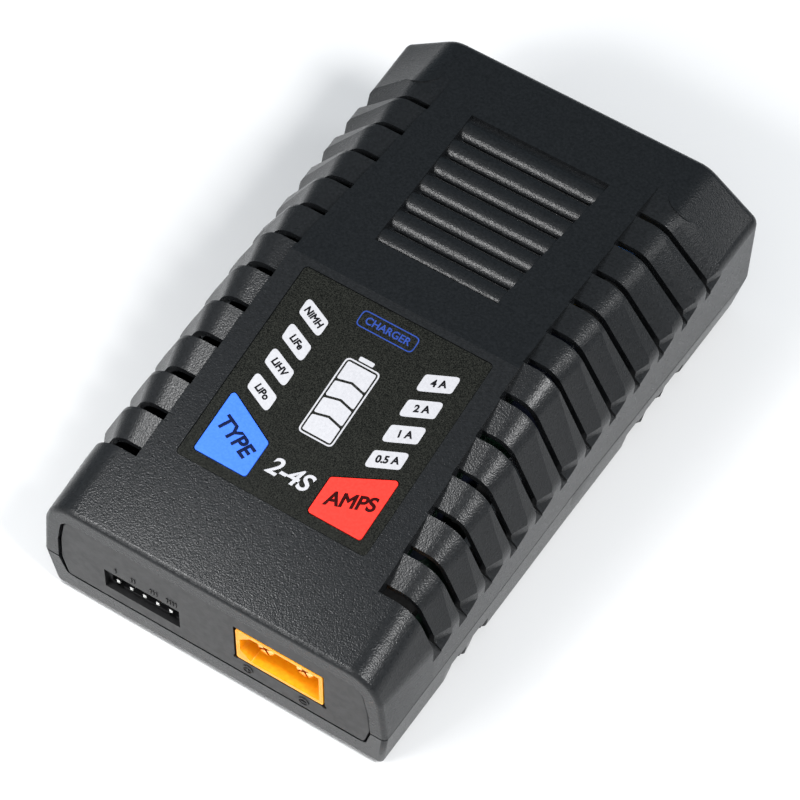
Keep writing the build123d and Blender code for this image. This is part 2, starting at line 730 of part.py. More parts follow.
# ---------- balance socket ----------
with BuildPart() as balance_housing:
    with Locations((BALANCE_X, (BALANCE_NOSE_Y + BALANCE_BACK_Y) / 2, BALANCE_Z + 0.63)):
        Box(14.9, BALANCE_BACK_Y - BALANCE_NOSE_Y, 5.75)
    board_box(BALANCE_X, (PCB_FRONT + BALANCE_BACK_Y) / 2, 14.9, BALANCE_BACK_Y - PCB_FRONT, PCB_TOP, BALANCE_Z)
    with Locations((BALANCE_X, BALANCE_NOSE_Y, BALANCE_Z + 0.63)):
        Box(12.9, 16.0, 4.15, mode=Mode.SUBTRACT)
    # keying slots through the lower wall
    for x in (BALANCE_X - 5.0, BALANCE_X + 5.0):
        board_box(x, BALANCE_NOSE_Y, 1.3, 6.0, BALANCE_Z - 3, BALANCE_Z - 1, mode=Mode.SUBTRACT)
    with BuildSketch(xz_plane(BALANCE_BACK_Y)):
        with Locations(*[(BALANCE_X + BALANCE_PITCH * n, BALANCE_Z) for n in range(-2, 3)]):
            Rectangle(0.66, 0.66)
    extrude(amount=20, mode=Mode.SUBTRACT)
finish_part(balance_housing, "balance_housing")

with BuildPart() as balance_pins:
    for n in range(-2, 3):
        x = BALANCE_X + BALANCE_PITCH * n
        with Locations((x, (BALANCE_TIP_Y + BALANCE_LEG_Y + 0.32) / 2, BALANCE_Z)):
            Box(0.64, BALANCE_LEG_Y + 0.32 - BALANCE_TIP_Y, 0.64)
        board_box(x, BALANCE_LEG_Y, 0.64, 0.64, PCB_Z - 0.8, BALANCE_Z + 0.32)
    tips = balance_pins.faces().filter_by(Axis.Y)
    tips = tips.filter_by_position(Axis.Y, BALANCE_TIP_Y - 0.1, BALANCE_TIP_Y + 0.1)
    chamfer(tips.edges(), 0.18)
finish_part(balance_pins, "balance_pins")

# ---------- DC output ----------
with BuildPart() as output_housing:
    with BuildSketch(xz_plane(PANEL_FACE - 0.05)):
        with Locations((OUTPUT_X, OUTPUT_Z)):
            RectangleRounded(16.0, 8.1, 0.5)
    extrude(amount=-16.0)
    board_box(OUTPUT_X, -42.5, 13.0, 9.0, PCB_TOP, OUTPUT_Z)
    # shroud cavity with two corners cut off at the positive end
    with BuildSketch(xz_plane(PANEL_FACE - 0.05)):
        shroud = [(-5.3, -3.35), (7.3, -3.35), (7.3, 3.35), (-5.3, 3.35), (-7.3, 1.5), (-7.3, -1.5)]
        face_of([(OUTPUT_X + x, OUTPUT_Z + z) for x, z in shroud], 0.25)
    extrude(amount=-OUTPUT_DEPTH, mode=Mode.SUBTRACT)
    with BuildSketch(xz_plane(PANEL_FACE)):
        with Locations(*[(OUTPUT_X + n * OUTPUT_PITCH / 2, OUTPUT_Z) for n in (-1, 1)]):
            Circle(1.76)
    extrude(amount=-30, mode=Mode.SUBTRACT)
finish_part(output_housing, "output_housing")

with BuildPart() as output_pins:
    with BuildSketch(xz_plane(OUTPUT_TIP_Y)):
        with Locations(*[(OUTPUT_X + n * OUTPUT_PITCH / 2, OUTPUT_Z) for n in (-1, 1)]):
            Circle(1.75)
    extrude(amount=-(OUTPUT_LEG_Y + 1.2 - OUTPUT_TIP_Y))
    fillet(output_pins.faces().sort_by(Axis.Y)[:2].edges(), 0.5)
    for n in (-1, 1):
        board_cylinder(OUTPUT_X + n * OUTPUT_PITCH / 2, OUTPUT_LEG_Y, 1.1, PCB_Z - 1.0, OUTPUT_Z)
    # cross slits that let the contacts spring
    with BuildSketch(xz_plane(OUTPUT_TIP_Y - 0.5)):
        for n in (-1, 1):
            with Locations(Location((OUTPUT_X + n * OUTPUT_PITCH / 2, OUTPUT_Z), 30)):
                Rectangle(5, 0.45)
                Rectangle(0.45, 5)
    extrude(amount=-6.0, mode=Mode.SUBTRACT)
finish_part(output_pins, "output_pins")

# ---------- mains inlet ----------
with BuildPart() as inlet_housing:
    inlet_middle = (INLET_BACK_Y + INLET_FLANGE_Y) / 2
    board_box(0, inlet_middle, 20.6, INLET_FLANGE_Y - INLET_BACK_Y, PCB_TOP, INLET_Z + 6.0)
    with Locations((0, (REAR_Y + INLET_FLANGE_Y) / 2, INLET_Z)):
        Box(2 * INLET_NOSE_X, REAR_Y - INLET_FLANGE_Y, 2 * INLET_NOSE_H)
    with BuildSketch(xz_plane(REAR_Y + 1)):
        with Locations(*[(n * INLET_PITCH / 2, INLET_Z) for n in (-1, 1)]):
            Circle(4.05)
        with Locations((0, INLET_Z)):
            Rectangle(INLET_PITCH, 5.8)
    extrude(amount=INLET_DEPTH + 1, mode=Mode.SUBTRACT)
    with BuildSketch(xz_plane(INLET_BACK_Y - 1)):
        with Locations(*[(n * INLET_PITCH / 2, INLET_Z) for n in (-1, 1)]):
            Circle(1.19)
    extrude(amount=-20, mode=Mode.SUBTRACT)
finish_part(inlet_housing, "inlet_housing")

with BuildPart() as inlet_pins:
    with BuildSketch(xz_plane(REAR_Y - 2.2)):
        with Locations(*[(n * INLET_PITCH / 2, INLET_Z) for n in (-1, 1)]):
            Circle(1.18)
    extrude(amount=REAR_Y - 2.2 - INLET_LEG_Y + 1.4)
    fillet(inlet_pins.faces().sort_by(Axis.Y)[-2:].edges(), 0.6)
    for n in (-1, 1):
        board_cylinder(n * INLET_PITCH / 2, INLET_LEG_Y, 1.1, PCB_Z - 1.0, INLET_Z)
finish_part(inlet_pins, "inlet_pins")

# ---------- mains side of the main board ----------
with BuildPart() as mains_fuse:
    board_cylinder(-16.2, 40.5, 4.2, PCB_TOP, 15.4)
    fillet(mains_fuse.faces().sort_by(Axis.Z)[-1].edges(), 0.5)
finish_part(mains_fuse, "mains_fuse")

with BuildPart() as y_capacitor:
    with Locations(Location((14.6, 42.5, PCB_TOP + 4.0), (0, 90, 0))):
        Cylinder(3.6, 2.8)
    fillet(y_capacitor.edges().filter_by(GeomType.CIRCLE), 0.8)
    for y in (40.0, 45.0):
        board_cylinder(14.6, y, 0.3, PCB_TOP, PCB_TOP + 3.0)
finish_part(y_capacitor, "y_capacitor")

with BuildPart() as x_capacitor:
    board_box(5.6, 29.2, 17.5, 7.0, PCB_TOP, 20.0)
    fillet(x_capacitor.edges().filter_by(Axis.Z), 0.5)
finish_part(x_capacitor, "x_capacitor")

CHOKE = (-14.5, 28.0)
with BuildPart() as choke_core:
    board_box(*CHOKE, 18.0, 5.0, PCB_TOP + 1.5, PCB_TOP + 17.5)
    board_box(*CHOKE, 9.6, 8.0, PCB_TOP + 5.0, PCB_TOP + 14.0, mode=Mode.SUBTRACT)
    fillet(choke_core.edges().filter_by(Axis.Y), 0.6)
finish_part(choke_core, "choke_core")

with BuildPart() as choke_windings:
    for side in (-1, 1):
        x = CHOKE[0] + side * 6.9
        board_box(x, CHOKE[1], 8.2, 9.2, PCB_TOP + 5.7, PCB_TOP + 13.3)
    fillet(choke_windings.edges().filter_by(Axis.Z), 2.0)
    for side in (-1, 1):
        x = CHOKE[0] + side * 6.9
        board_box(x, CHOKE[1], 4.2, 5.0, PCB_TOP, 30, mode=Mode.SUBTRACT)
    for side in (-1, 1):
        for y in (-3.4, 3.4):
            board_cylinder(CHOKE[0] + side * 6.9, CHOKE[1] + y, 0.4, PCB_TOP, PCB_TOP + 5.7)
finish_part(choke_windings, "choke_windings")

with BuildPart() as bridge_rectifier:
    board_box(19.5, 30.5, 3.5, 15.0, PCB_TOP + 2.0, PCB_TOP + 13.0)
    chamfer(bridge_rectifier.edges().filter_by(Axis.X).group_by(Axis.Z)[-1].sort_by(Axis.Y)[-1], 2.0)
    for n in range(4):
        board_box(19.5, 30.5 + 3.81 * (n - 1.5), 0.6, 0.9, PCB_TOP, PCB_TOP + 2.0)
finish_part(bridge_rectifier, "bridge_rectifier")

with BuildPart() as bulk_capacitor:
    board_cylinder(15.6, 12.0, 8.0, PCB_TOP, 28.0)
    fillet(bulk_capacitor.faces().sort_by(Axis.Z)[-1].edges(), 0.7)
    with BuildSketch(Plane.XY.offset(PCB_TOP + 1.2)):
        with Locations((15.6, 12.0)):
            Circle(8.5)
            Circle(7.7, mode=Mode.SUBTRACT)
    extrude(amount=1.0, mode=Mode.SUBTRACT)
    with BuildSketch(Plane.XY.offset(28.0)):
        with Locations((15.6, 12.0)):
            Rectangle(9, 0.5)
            Rectangle(0.5, 9)
    extrude(amount=-0.3, mode=Mode.SUBTRACT)
finish_part(bulk_capacitor, "bulk_capacitor")

with BuildPart() as primary_heatsink:
    board_box(-26.0, 8.0, 1.5, 20.0, PCB_TOP, 21.0)
    board_box(-24.9, 16.9, 3.7, 2.2, PCB_TOP, 21.0)
finish_part(primary_heatsink, "primary_heatsink")

with BuildPart() as switching_transistor:
    board_box(-24.55, 8.0, 1.4, 10.0, PCB_TOP + 3.5, PCB_TOP + 13.0)
    board_box(-22.9, 8.0, 3.1, 10.0, PCB_TOP + 3.5, PCB_TOP + 12.5)
    for n in (-1, 0, 1):
        board_box(-23.4, 8.0 + 2.54 * n, 0.6, 0.9, PCB_TOP, PCB_TOP + 3.5)
finish_part(switching_transistor, "switching_transistor")

# ---------- transformer ----------
COIL = (-6.8, 8.0)
with BuildPart() as transformer_core:
    board_box(*COIL, 24.0, 9.0, PCB_TOP + 1.2, PCB_TOP + 20.2)
    for side in (-1, 1):
        board_box(COIL[0] + side * 6.1, COIL[1], 5.2, 12, PCB_TOP + 4.7, PCB_TOP + 16.7, mode=Mode.SUBTRACT)
finish_part(transformer_core, "transformer_core")

with BuildPart() as transformer_bobbin:
    board_box(*COIL, 9.0, 11.0, PCB_TOP + 4.8, PCB_TOP + 16.6)
    for low in (PCB_TOP + 4.8, PCB_TOP + 15.6):
        board_box(*COIL, 17.0, 18.0, low, low + 1.0)
    for y in (-7.2, 7.2):
        board_box(COIL[0], COIL[1] + y, 17.0, 3.6, PCB_TOP, PCB_TOP + 4.8)
    board_box(*COIL, 7.0, 9.0, PCB_TOP, PCB_TOP + 20, mode=Mode.SUBTRACT)
finish_part(transformer_bobbin, "transformer_bobbin")

with BuildPart() as transformer_winding:
    board_box(*COIL, 15.6, 17.0, PCB_TOP + 5.8, PCB_TOP + 15.6)
    fillet(transformer_winding.edges().filter_by(Axis.Z), 2.5)
    board_box(*COIL, 9.0, 11.0, PCB_TOP, PCB_TOP + 20, mode=Mode.SUBTRACT)
finish_part(transformer_winding, "transformer_winding")

# ---------- battery side of the main board ----------
with BuildPart() as secondary_heatsink:
    board_box(26.0, -14.0, 1.5, 20.0, PCB_TOP, 19.0)
    board_box(24.9, -5.1, 3.7, 2.2, PCB_TOP, 19.0)
finish_part(secondary_heatsink, "secondary_heatsink")

with BuildPart() as output_rectifier:
    board_box(24.55, -14.0, 1.4, 10.0, PCB_TOP + 3.0, PCB_TOP + 11.2)
    board_box(22.9, -14.0, 3.1, 10.0, PCB_TOP + 3.0, PCB_TOP + 10.8)
    for n in (-1, 0, 1):
        board_box(23.4, -14.0 + 2.54 * n, 0.6, 0.9, PCB_TOP, PCB_TOP + 3.0)
finish_part(output_rectifier, "output_rectifier")

with BuildPart() as output_capacitors:
    for x, y in ((14.0, -7.0), (14.0, -18.5)):
        board_cylinder(x, y, 5.0, PCB_TOP, 20.4)
    fillet(output_capacitors.faces().filter_by(Axis.Z).group_by(Axis.Z)[-1].edges(), 0.5)
finish_part(output_capacitors, "output_capacitors")

INDUCTOR = (-2.0, -14.0)
with BuildPart() as inductor_core:
    with BuildSketch(Plane.XY.offset(PCB_TOP + 1.0)):
        with Locations(INDUCTOR):
            Circle(7.0)
            Circle(3.6, mode=Mode.SUBTRACT)
    extrude(amount=6.0)
finish_part(inductor_core, "inductor_core")

# wire turns laid side by side round the ring
with BuildPart() as inductor_winding:
    with BuildSketch(Plane.XY.offset(PCB_TOP)) as turn_plan:
        with Locations(INDUCTOR):
            with PolarLocations(0, 14):
                with Locations((5.3, 0)):
                    Rectangle(5.6, 0.95)
    extrude(amount=8.0)
    with BuildSketch(Plane.XY.offset(PCB_TOP + 1.0)):
        with Locations(INDUCTOR):
            Circle(7.0)
            Circle(3.6, mode=Mode.SUBTRACT)
    extrude(amount=6.0, mode=Mode.SUBTRACT)
finish_part(inductor_winding, "inductor_winding")

with BuildPart() as buzzer:
    board_cylinder(-19.5, -10.3, 4.75, PCB_TOP, 13.0)
    with Locations((-19.5, -10.3, 12.2)):
        Cylinder(1.0, 2.0, mode=Mode.SUBTRACT)
finish_part(buzzer, "buzzer")

with BuildPart() as control_chip:
    board_box(-14.0, -30.0, 9.0, 9.0, PCB_TOP + 0.1, PCB_TOP + 1.1)
    with Locations((-14.0, -30.0, PCB_TOP)):
        with PolarLocations(0, 4):
            with GridLocations(0, 0.8, 1, 8):
                with Locations((4.9, 0, 0)):
                    Box(1.2, 0.35, 0.3, align=UPWARD)
finish_part(control_chip, "control_chip")

with BuildPart() as charge_transistors:
    for x, y in ((-24.0, -24.0), (-24.0, -32.5), (10.5, -29.0), (19.5, -29.0)):
        board_box(x, y, 6.5, 6.0, PCB_TOP, PCB_TOP + 2.3)
finish_part(charge_transistors, "charge_transistors")

with BuildPart() as balance_resistors:
    board_box(-24.3, -17.5, 6.3, 3.1, PCB_TOP, PCB_TOP + 0.6)
    for n in range(4):
        board_box(-24.5 + 7.2 * n, -36.9, 5.6, 2.6, PCB_TOP, PCB_TOP + 0.6)
finish_part(balance_resistors, "balance_resistors")

# ribbon between the two boards
with BuildPart() as link_ribbon:
    board_box(0, RIBBON_Y, 10.0, 0.5, PCB_TOP + 2.0, 19.0)
finish_part(link_ribbon, "link_ribbon")

with BuildPart() as link_connectors:
    board_box(0, RIBBON_Y, 12.5, 3.6, PCB_TOP, PCB_TOP + 4.0)
    with BuildSketch(slope_at(BOARD_W - BOARD_T)):
        with Locations((0, LINK_V)):
            Rectangle(12.5, 3.6)
    extrude(amount=-3.4)
    add(link_ribbon.part, mode=Mode.SUBTRACT)
finish_part(link_connectors, "link_connectors")
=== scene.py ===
import bpy
import bmesh
import json
import math
from mathutils import Matrix, Vector


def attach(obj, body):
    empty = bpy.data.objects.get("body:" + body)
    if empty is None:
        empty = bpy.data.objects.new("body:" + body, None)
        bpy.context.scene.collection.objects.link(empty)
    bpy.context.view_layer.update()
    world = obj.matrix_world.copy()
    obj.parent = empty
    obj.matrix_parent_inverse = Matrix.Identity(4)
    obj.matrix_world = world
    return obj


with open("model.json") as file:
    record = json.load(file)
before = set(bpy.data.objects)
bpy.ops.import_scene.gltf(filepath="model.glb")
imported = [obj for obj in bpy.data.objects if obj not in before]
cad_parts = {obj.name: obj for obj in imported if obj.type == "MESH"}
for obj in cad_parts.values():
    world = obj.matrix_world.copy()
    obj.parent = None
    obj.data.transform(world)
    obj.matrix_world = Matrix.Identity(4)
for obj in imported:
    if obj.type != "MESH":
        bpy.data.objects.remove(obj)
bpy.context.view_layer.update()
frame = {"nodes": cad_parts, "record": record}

MM = 0.001

# the case's front slope, in millimetres as in the CAD
SLOPE = 0.209
RIDGE_Y = 0.4
RIDGE_Z = 36.0
LABEL_TOP_W = -0.14
KEY_TOP_W = -0.04
TILT = math.atan(SLOPE)
NORMAL = Vector((0, -math.sin(TILT), math.cos(TILT)))
UP_SLOPE = Vector((0, math.cos(TILT), math.sin(TILT)))


# ---------------------------------------------------------------- materials

class Nodes:
    """A material's node tree with short calls for the nodes used here."""

    def __init__(self, name):
        self.material = bpy.data.materials.new(name)
        self.material.use_nodes = True
        self.tree = self.material.node_tree
        self.shader = self.tree.nodes["Principled BSDF"]
        self.place = self.tree.nodes.new("ShaderNodeTexCoord").outputs["Object"]

    def link(self, output, target):
        self.tree.links.new(output, target)

    def noise(self, scale, detail=2.0, roughness=0.5):
        node = self.tree.nodes.new("ShaderNodeTexNoise")
        node.inputs["Scale"].default_value = scale
        node.inputs["Detail"].default_value = detail
        node.inputs["Roughness"].default_value = roughness
        self.link(self.place, node.inputs["Vector"])
        return node.outputs["Fac"]

    def spread(self, value, low, high):
        """Carries a noise's usual range over to low and high."""
        node = self.tree.nodes.new("ShaderNodeMapRange")
        node.inputs["From Min"].default_value = 0.3
        node.inputs["From Max"].default_value = 0.7
        node.inputs["To Min"].default_value = low
        node.inputs["To Max"].default_value = high
        self.link(value, node.inputs["Value"])
        return node.outputs["Result"]

    def blend(self, value, low, high, start=0.3, end=0.7):
        """Colour that goes from low at start to high at end."""
        ramp = self.tree.nodes.new("ShaderNodeValToRGB")
        ramp.color_ramp.elements[0].position = start
        ramp.color_ramp.elements[1].position = end
        ramp.color_ramp.elements[0].color = (*low, 1)
        ramp.color_ramp.elements[1].color = (*high, 1)
        self.link(value, ramp.inputs["Fac"])
        return ramp.outputs["Color"]

    def bump(self, height, strength, distance, before=None):
        """Relief of the given depth in metres, over an earlier relief if there is one."""
        node = self.tree.nodes.new("ShaderNodeBump")
        node.inputs["Strength"].default_value = strength
        node.inputs["Distance"].default_value = distance
        self.link(height, node.inputs["Height"])
        if before:
            self.link(before, node.inputs["Normal"])
        return node.outputs["Normal"]


def moulded(name, dark, light, rough, grain, depth, spread=0.06, specular=0.5, detail=3):
    """Moulded plastic: spark-eroded grain, faint mottling and a slowly varying sheen."""
    n = Nodes(name)
    fine = n.noise(grain, detail, 0.6)
    sheen = n.spread(n.noise(grain * 0.4, 3), rough - spread, rough + spread)
    n.link(n.blend(n.noise(grain * 0.6, 2), dark, light), n.shader.inputs["Base Color"])
    n.link(sheen, n.shader.inputs["Roughness"])
    n.shader.inputs["Specular IOR Level"].default_value = specular
    coarse = n.bump(n.noise(grain * 0.6, 1), 0.1, depth)
    n.link(n.bump(fine, 0.9, depth, coarse), n.shader.inputs["Normal"])
    return n.material


def metal(name, dark, light, rough, grain):
    """Bare or plated metal with fine rolling marks."""
    n = Nodes(name)
    n.shader.inputs["Metallic"].default_value = 1
    n.link(n.blend(n.noise(grain, 3), dark, light), n.shader.inputs["Base Color"])
    n.link(n.spread(n.noise(grain * 2.5, 2), rough - 0.07, rough + 0.08), n.shader.inputs["Roughness"])
    n.link(n.bump(n.noise(grain * 3, 2), 0.3, 0.00001), n.shader.inputs["Normal"])
    return n.material


def ink(name, dark, light, rough=0.42, specular=0.15):
    """Screen-printed ink with the film's texture showing through."""
    n = Nodes(name)
    n.shader.inputs["Specular IOR Level"].default_value = specular
    n.link(n.blend(n.noise(2600, 2), dark, light), n.shader.inputs["Base Color"])
    n.link(n.spread(n.noise(900, 2), rough - 0.05, rough + 0.07), n.shader.inputs["Roughness"])
    n.link(n.bump(n.noise(5200, 2), 0.35, 0.000012), n.shader.inputs["Normal"])
    return n.material


def windings(name, dark, light, pitch, axis, rough):
    """Rows of wire or tape laid side by side along one axis."""
    n = Nodes(name)
    wave = n.tree.nodes.new("ShaderNodeTexWave")
    wave.bands_direction = axis
    wave.inputs["Scale"].default_value = 2 / (pitch * MM) / math.tau
    wave.inputs["Distortion"].default_value = 0.6
    n.link(n.place, wave.inputs["Vector"])
    n.link(n.blend(wave.outputs["Fac"], dark, light, 0.1, 0.7), n.shader.inputs["Base Color"])
    n.link(n.spread(n.noise(700, 2), rough - 0.08, rough + 0.08), n.shader.inputs["Roughness"])
    n.link(n.bump(wave.outputs["Fac"], 0.8, 0.00015), n.shader.inputs["Normal"])
    return n.material


def shade_darkened_board_mask(name):
    """Solder mask in green darkened nearly to black, as painted shade where the board shows through the
    vents, with faint traces beneath.
    """
    n = Nodes(name)
    brick = n.tree.nodes.new("ShaderNodeTexBrick")
    brick.inputs["Scale"].default_value = 210
    brick.inputs["Mortar Size"].default_value = 0.03
    # painted shade: the mask's colours are kept near black so the board seen through the vent slots
    # reads as the shade inside them
    brick.inputs["Color1"].default_value = (0.006, 0.022, 0.012, 1)
    brick.inputs["Color2"].default_value = (0.008, 0.028, 0.016, 1)
    brick.inputs["Mortar"].default_value = (0.014, 0.05, 0.028, 1)
    n.link(n.place, brick.inputs["Vector"])
    n.link(brick.outputs["Color"], n.shader.inputs["Base Color"])
    n.link(n.spread(n.noise(600, 2), 0.25, 0.42), n.shader.inputs["Roughness"])
    n.link(n.bump(brick.outputs["Fac"], 0.4, 0.00003), n.shader.inputs["Normal"])
    return n.material


def label_film(name):
    """Olive-black film with an embossed texture, its raised points painted lighter in colour as glints.
    """
    n = Nodes(name)
    grain_and_glint_speck = n.noise(5200, 2, 0.7)
    # painted glints: the base colour lightens on the same specks that raise the emboss
    painted_glint_tone = n.blend(grain_and_glint_speck, (0.002, 0.0024, 0.002), (0.024, 0.025, 0.021), 0.40, 0.66)
    n.link(painted_glint_tone, n.shader.inputs["Base Color"])
    n.link(n.spread(n.noise(2500, 2), 0.36, 0.56), n.shader.inputs["Roughness"])
    n.shader.inputs["Specular IOR Level"].default_value = 0.08
    n.link(n.bump(grain_and_glint_speck, 0.8, 0.00003), n.shader.inputs["Normal"])
    return n.material


# name: darkest and lightest colour, roughness, grain per metre, grain depth in metres
PLASTICS = {
    "switch_plastic": ((0.03, 0.03, 0.03), (0.05, 0.05, 0.05), 0.5, 3000, 0.00001),
    "clear_plastic": ((0.7, 0.71, 0.74), (0.85, 0.86, 0.88), 0.3, 3000, 0.00001),
    "led_resin": ((0.7, 0.66, 0.45), (0.85, 0.82, 0.62), 0.25, 3000, 0.00001),
    "socket_plastic": ((0.004, 0.004, 0.0045), (0.008, 0.008, 0.009), 0.5, 3000, 0.00001),
    "output_plastic": ((0.95, 0.33, 0.0), (1.0, 0.42, 0.005), 0.38, 2400, 0.000012),
    "fuse_case": ((0.10, 0.05, 0.03), (0.16, 0.09, 0.05), 0.4, 2000, 0.00002),
    "blue_resin": ((0.03, 0.14, 0.42), (0.05, 0.2, 0.55), 0.25, 800, 0.00004),
    "yellow_case": ((0.75, 0.55, 0.06), (0.85, 0.66, 0.1), 0.4, 1800, 0.00002),
    "ferrite": ((0.03, 0.03, 0.033), (0.06, 0.06, 0.065), 0.5, 1500, 0.00003),
    "black_resin": ((0.012, 0.012, 0.012), (0.025, 0.025, 0.025), 0.5, 2600, 0.00002),
    "capacitor_sleeve": ((0.014, 0.017, 0.035), (0.022, 0.026, 0.05), 0.3, 1200, 0.00002),
    "bobbin_plastic": ((0.03, 0.025, 0.02), (0.05, 0.045, 0.04), 0.45, 2000, 0.00002),
    "resistor_body": ((0.015, 0.015, 0.015), (0.03, 0.03, 0.03), 0.3, 2000, 0.00002),
}
# name: darkest and lightest colour, roughness, grain per metre
METALS = {
    "steel_screw": ((0.30, 0.30, 0.31), (0.50, 0.50, 0.52), 0.34, 900),
    "dome_steel": ((0.5, 0.5, 0.5), (0.7, 0.7, 0.7), 0.25, 900),
    "tinned_pin": ((0.45, 0.45, 0.44), (0.62, 0.62, 0.60), 0.3, 1500),
    "gold_pin": ((0.85, 0.58, 0.20), (1.0, 0.76, 0.33), 0.2, 1500),
    "sheet_aluminium": ((0.6, 0.6, 0.61), (0.8, 0.8, 0.81), 0.33, 1100),
}
# name: darkest and lightest colour, pitch in millimetres, axis, roughness
WOUND = {
    "copper_wire": ((0.25, 0.08, 0.03), (0.72, 0.29, 0.11), 0.6, "Z", 0.3),
    "winding_tape": ((0.62, 0.46, 0.06), (0.86, 0.70, 0.14), 4.0, "Z", 0.35),
    "ribbon_jacket": ((0.28, 0.29, 0.31), (0.45, 0.46, 0.48), 1.0, "X", 0.4),
}

CASE_TONES = ((0.006, 0.0066, 0.0072), (0.011, 0.012, 0.0132))
PANEL_TONES = ((0.0085, 0.0085, 0.009), (0.013, 0.013, 0.0135))

MATERIALS = {
    "case_plastic": moulded("case_plastic", *CASE_TONES, 0.30, 3700, 0.00006, 0.04, 0.3, 1),
    "panel_plastic": moulded("panel_plastic", *PANEL_TONES, 0.36, 1900, 0.00001, specular=0.28),
    "label_film": label_film("label_film"),
    "board_laminate": shade_darkened_board_mask("board_laminate"),
    "blue_key": ink("blue_key", (0.040, 0.150, 0.74), (0.052, 0.175, 0.80), 0.5),
    "red_key": ink("red_key", (0.83, 0.030, 0.020), (0.90, 0.040, 0.028), 0.5),
}
MATERIALS.update({name: moulded(name, *row) for name, row in PLASTICS.items()})
MATERIALS.update({name: metal(name, *row) for name, row in METALS.items()})
MATERIALS.update({name: windings(name, *row) for name, row in WOUND.items()})

WHITE_INK = ink("white_ink", (0.41, 0.41, 0.43), (0.46, 0.46, 0.48))
BLUE_INK = ink("blue_ink", (0.018, 0.045, 0.22), (0.028, 0.065, 0.30))
DARK_INK = ink("dark_ink", (0.004, 0.004, 0.005), (0.010, 0.010, 0.012), specular=0.05)
KEY_BLUE_INK = ink("key_blue_ink", (0.003, 0.006, 0.030), (0.006, 0.012, 0.045), specular=0.05)
KEY_RED_INK = ink("key_red_ink", (0.022, 0.002, 0.002), (0.035, 0.004, 0.004), specular=0.05)

slots = {entry["node"]: entry["material_slot"] for entry in frame["record"]["subparts"]}
for node, thing in frame["nodes"].items():
    thing.data.materials.clear()
    thing.data.materials.append(MATERIALS[slots[node]])


# ---------------------------------------------------------------- CAD edges

SHARP_EDGE = math.radians(38)


def soften(node, width):
    """Small worn radius on a carried-over node's sharp edges, so that they catch the light."""
    thing = frame["nodes"][node]
    weld = thing.modifiers.new("weld", "WELD")
    weld.merge_threshold = 0.000002
    bevel = thing.modifiers.new("edge", "BEVEL")
    bevel.width = width * MM
    bevel.segments = 2
    bevel.limit_method = "ANGLE"
    bevel.angle_limit = SHARP_EDGE
    bevel.harden_normals = True


soften("front_panel", 0.12)
soften("output_housing", 0.15)
soften("lower_shell", 0.15)


# ---------------------------------------------------------------- label artwork

INK_ROOT_W = LABEL_TOP_W - 0.01
INK_TOP_W = LABEL_TOP_W + 0.018
KEY_INK_W = KEY_TOP_W + 0.01
LETTER_LIFT = 0.006
LETTER_THICKNESS = 0.012
LETTER_FLATTENED = 0.12
CORNER_STEPS = 5


def rounded(points, radius):
    """Closed outline with each corner turned by an arc."""
    out = []
    count = len(points)
    for i in range(count):
        here = Vector(points[i])
        back = Vector(points[i - 1]) - here
        ahead = Vector(points[(i + 1) % count]) - here
        half = back.angle(ahead) / 2
        reach = min(radius / math.tan(half), back.length * 0.45, ahead.length * 0.45)
        start = here + back.normalized() * reach
        end = here + ahead.normalized() * reach
        for k in range(CORNER_STEPS + 1):
            t = k / CORNER_STEPS
            out.append(start * (1 - t) ** 2 + here * 2 * t * (1 - t) + end * t ** 2)
    return out


def on_slope(x, y, w):
    """Point at x, y on the front slope, w above its plane, all in millimetres."""
    return (Vector((x, y, RIDGE_Z - (RIDGE_Y - y) * SLOPE)) + NORMAL * w) * MM


def printed(name, outline, holes, material):
    """Thin printed shape on the label, with its edge turned down into the film."""
    mesh = bpy.data.meshes.new(name)
    bm = bmesh.new()
    loops = []
    for loop in [outline] + holes:
        top = [bm.verts.new(on_slope(p[0], p[1], INK_TOP_W)) for p in loop]
        bottom = [bm.verts.new(on_slope(p[0], p[1], INK_ROOT_W)) for p in loop]
        edges = []
        for i in range(len(loop)):
            j = (i + 1) % len(loop)
            bm.faces.new((top[i], top[j], bottom[j], bottom[i]))
            edges.append(bm.edges.get((top[i], top[j])))
        loops.append(edges)
    rims = [edge for edges in loops for edge in edges]
    bmesh.ops.triangle_fill(bm, use_beauty=True, use_dissolve=False, edges=rims)
    bmesh.ops.recalc_face_normals(bm, faces=bm.faces)
    bm.to_mesh(mesh)
    bm.free()
    mesh.materials.append(material)
    thing = bpy.data.objects.new(name, mesh)
    bpy.context.scene.collection.objects.link(thing)
    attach(thing, "case")


def axes(right, up, out, place):
    """Matrix from three axes and a place."""
    columns = (right, up, out, place)
    return Matrix([[column[i] for column in columns] for i in range(3)] + [[0, 0, 0, 1]])


def lettering(name, words, x, y, size, turn, material, bold, lean=0.0, w=INK_TOP_W, body="case"):
    """Plain lettering centred at x, y on the slope, turned in its plane.

    bold thickens the strokes by that part of the size, and lean slants them.
    """
    curve = bpy.data.curves.new(name, "FONT")
    curve.body = words
    curve.size = size * MM
    curve.align_x = "CENTER"
    curve.align_y = "CENTER"
    curve.extrude = LETTER_THICKNESS * MM
    curve.bevel_depth = size * bold * MM
    curve.bevel_resolution = 0
    curve.shear = lean
    curve.materials.append(material)
    thing = bpy.data.objects.new(name, curve)
    bpy.context.scene.collection.objects.link(thing)
    along = (Vector((1, 0, 0)) * math.cos(turn) + UP_SLOPE * math.sin(turn)).normalized()
    across = NORMAL.cross(along)
    spot = on_slope(x, y, w + LETTER_LIFT)
    thing.matrix_world = axes(along, across, NORMAL * LETTER_FLATTENED, spot)
    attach(thing, body)


def box_points(half, top, bottom):
    return [(-half, top), (half, top), (half, bottom), (-half, bottom)]


def frame_shape(name, half, top, bottom, radius, width, material):
    """Printed line of one width round a rounded box."""
    outer = rounded(box_points(half, top, bottom), radius)
    inner = rounded(box_points(half - width, top - width, bottom + width), radius - width * 0.8)
    printed(name, outer, [inner], material)


